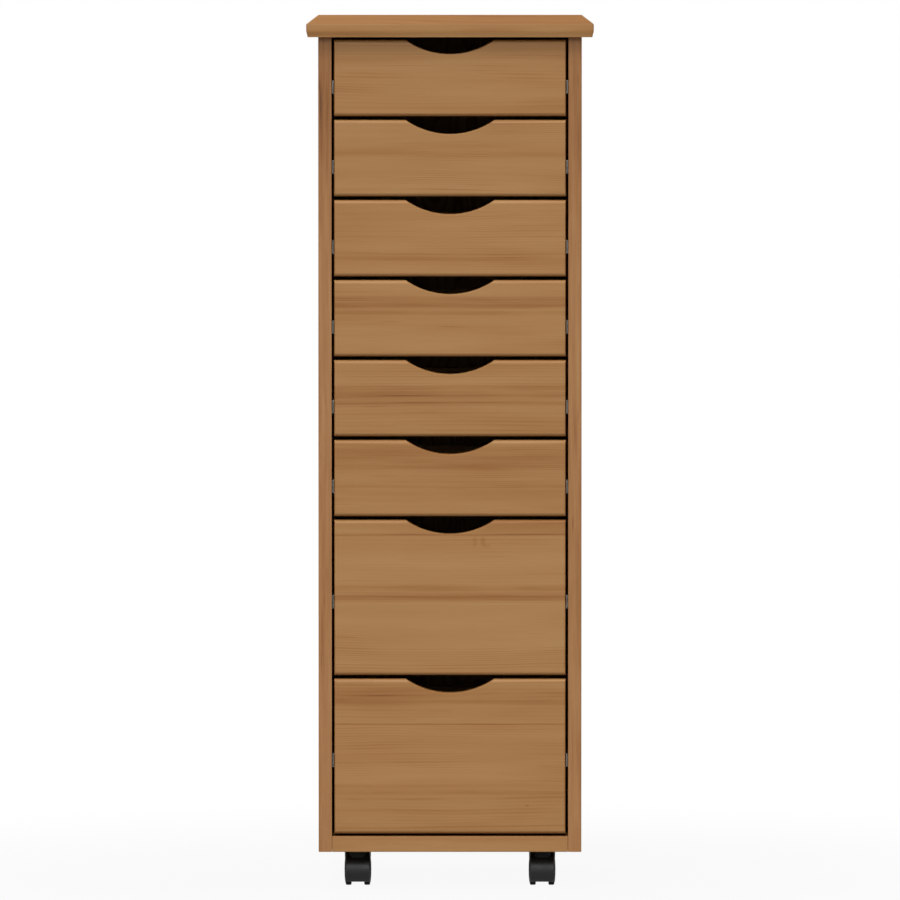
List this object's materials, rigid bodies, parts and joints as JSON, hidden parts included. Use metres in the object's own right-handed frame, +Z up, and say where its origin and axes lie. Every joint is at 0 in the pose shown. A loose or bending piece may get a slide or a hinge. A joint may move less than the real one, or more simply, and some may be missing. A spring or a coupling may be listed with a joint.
{
  "type": "rolling drawer cabinet",
  "caption": "Tall narrow pine cabinet with shallow and deep drawers on steel runners, arc-shaped finger cut-outs in the drawer fronts, a moulded top and twin-wheel casters.",
  "frame": {"origin": "middle of the footprint, on the floor", "axes": "+X to the right as seen from the front, +Y to the back, +Z up; the drawers open towards -Y"},
  "size_m": [0.365, 0.38, 1.1138],
  "materials": {
    "pine": "stained and lacquered pine",
    "pine_front": "stained and lacquered pine",
    "pine_pale": "plain pine",
    "plywood": "plain plywood",
    "zinc": "zinc plated",
    "black_plastic": "moulded, satin black",
    "tread_plastic": "moulded, matt black"
  },
  "bodies": {
    "cabinet": {"top_panel": "pine", "side_panel_left": "pine", "side_panel_right": "pine", "bottom_panel": "pine", "back_panel": "plywood", "runner_left_1": "zinc", "runner_left_2": "zinc", "runner_left_3": "zinc", "runner_left_4": "zinc", "runner_left_5": "zinc", "runner_left_6": "zinc", "runner_left_7": "zinc", "runner_left_8": "zinc", "runner_right_1": "zinc", "runner_right_2": "zinc", "runner_right_3": "zinc", "runner_right_4": "zinc", "runner_right_5": "zinc", "runner_right_6": "zinc", "runner_right_7": "zinc", "runner_right_8": "zinc"},
    "drawer_1": {"drawer_1_front": "pine_front", "drawer_1_box": "pine_pale", "drawer_1_base": "plywood"},
    "drawer_2": {"drawer_2_front": "pine_front", "drawer_2_box": "pine_pale", "drawer_2_base": "plywood"},
    "drawer_3": {"drawer_3_front": "pine_front", "drawer_3_box": "pine_pale", "drawer_3_base": "plywood"},
    "drawer_4": {"drawer_4_front": "pine_front", "drawer_4_box": "pine_pale", "drawer_4_base": "plywood"},
    "drawer_5": {"drawer_5_front": "pine_front", "drawer_5_box": "pine_pale", "drawer_5_base": "plywood"},
    "drawer_6": {"drawer_6_front": "pine_front", "drawer_6_box": "pine_pale", "drawer_6_base": "plywood"},
    "drawer_7": {"drawer_7_front": "pine_front", "drawer_7_box": "pine_pale", "drawer_7_base": "plywood"},
    "drawer_8": {"drawer_8_front": "pine_front", "drawer_8_box": "pine_pale", "drawer_8_base": "plywood"},
    "caster_front_left": {"caster_front_left_hood": "black_plastic"},
    "caster_front_left_wheel_left": {"caster_front_left_wheel_left": "tread_plastic"},
    "caster_front_left_wheel_right": {"caster_front_left_wheel_right": "tread_plastic"},
    "caster_front_right": {"caster_front_right_hood": "black_plastic"},
    "caster_front_right_wheel_left": {"caster_front_right_wheel_left": "tread_plastic"},
    "caster_front_right_wheel_right": {"caster_front_right_wheel_right": "tread_plastic"},
    "caster_rear_left": {"caster_rear_left_hood": "black_plastic"},
    "caster_rear_left_wheel_left": {"caster_rear_left_wheel_left": "tread_plastic"},
    "caster_rear_left_wheel_right": {"caster_rear_left_wheel_right": "tread_plastic"},
    "caster_rear_right": {"caster_rear_right_hood": "black_plastic"},
    "caster_rear_right_wheel_left": {"caster_rear_right_wheel_left": "tread_plastic"},
    "caster_rear_right_wheel_right": {"caster_rear_right_wheel_right": "tread_plastic"}
  },
  "joints": [
    {"name": "drawer_1_slide", "type": "slide", "parent": "cabinet", "child": "drawer_1", "axis": [0, -1, 0], "range_m": [0, 0.24]},
    {"name": "drawer_2_slide", "type": "slide", "parent": "cabinet", "child": "drawer_2", "axis": [0, -1, 0], "range_m": [0, 0.24]},
    {"name": "drawer_3_slide", "type": "slide", "parent": "cabinet", "child": "drawer_3", "axis": [0, -1, 0], "range_m": [0, 0.24]},
    {"name": "drawer_4_slide", "type": "slide", "parent": "cabinet", "child": "drawer_4", "axis": [0, -1, 0], "range_m": [0, 0.24]},
    {"name": "drawer_5_slide", "type": "slide", "parent": "cabinet", "child": "drawer_5", "axis": [0, -1, 0], "range_m": [0, 0.24]},
    {"name": "drawer_6_slide", "type": "slide", "parent": "cabinet", "child": "drawer_6", "axis": [0, -1, 0], "range_m": [0, 0.24]},
    {"name": "drawer_7_slide", "type": "slide", "parent": "cabinet", "child": "drawer_7", "axis": [0, -1, 0], "range_m": [0, 0.24]},
    {"name": "drawer_8_slide", "type": "slide", "parent": "cabinet", "child": "drawer_8", "axis": [0, -1, 0], "range_m": [0, 0.24]},
    {"name": "caster_front_left_swivel", "type": "hinge", "parent": "cabinet", "child": "caster_front_left", "pos_m": [-0.118, -0.1245, 0.02], "axis": [0, 0, 1], "continuous": true},
    {"name": "caster_front_left_wheel_left_spin", "type": "hinge", "parent": "caster_front_left", "child": "caster_front_left_wheel_left", "pos_m": [-0.118, -0.113, 0.02], "axis": [1, 0, 0], "continuous": true},
    {"name": "caster_front_left_wheel_right_spin", "type": "hinge", "parent": "caster_front_left", "child": "caster_front_left_wheel_right", "pos_m": [-0.118, -0.113, 0.02], "axis": [1, 0, 0], "continuous": true},
    {"name": "caster_front_right_swivel", "type": "hinge", "parent": "cabinet", "child": "caster_front_right", "pos_m": [0.118, -0.1245, 0.02], "axis": [0, 0, 1], "continuous": true},
    {"name": "caster_front_right_wheel_left_spin", "type": "hinge", "parent": "caster_front_right", "child": "caster_front_right_wheel_left", "pos_m": [0.118, -0.113, 0.02], "axis": [1, 0, 0], "continuous": true},
    {"name": "caster_front_right_wheel_right_spin", "type": "hinge", "parent": "caster_front_right", "child": "caster_front_right_wheel_right", "pos_m": [0.118, -0.113, 0.02], "axis": [1, 0, 0], "continuous": true},
    {"name": "caster_rear_left_swivel", "type": "hinge", "parent": "cabinet", "child": "caster_rear_left", "pos_m": [-0.1207, 0.1455, 0.02], "axis": [0, 0, 1], "continuous": true},
    {"name": "caster_rear_left_wheel_left_spin", "type": "hinge", "parent": "caster_rear_left", "child": "caster_rear_left_wheel_left", "pos_m": [-0.1207, 0.157, 0.02], "axis": [1, 0, 0], "continuous": true},
    {"name": "caster_rear_left_wheel_right_spin", "type": "hinge", "parent": "caster_rear_left", "child": "caster_rear_left_wheel_right", "pos_m": [-0.1207, 0.157, 0.02], "axis": [1, 0, 0], "continuous": true},
    {"name": "caster_rear_right_swivel", "type": "hinge", "parent": "cabinet", "child": "caster_rear_right", "pos_m": [0.1207, 0.1455, 0.02], "axis": [0, 0, 1], "continuous": true},
    {"name": "caster_rear_right_wheel_left_spin", "type": "hinge", "parent": "caster_rear_right", "child": "caster_rear_right_wheel_left", "pos_m": [0.1207, 0.157, 0.02], "axis": [1, 0, 0], "continuous": true},
    {"name": "caster_rear_right_wheel_right_spin", "type": "hinge", "parent": "caster_rear_right", "child": "caster_rear_right_wheel_right", "pos_m": [0.1207, 0.157, 0.02], "axis": [1, 0, 0], "continuous": true}
  ]
}
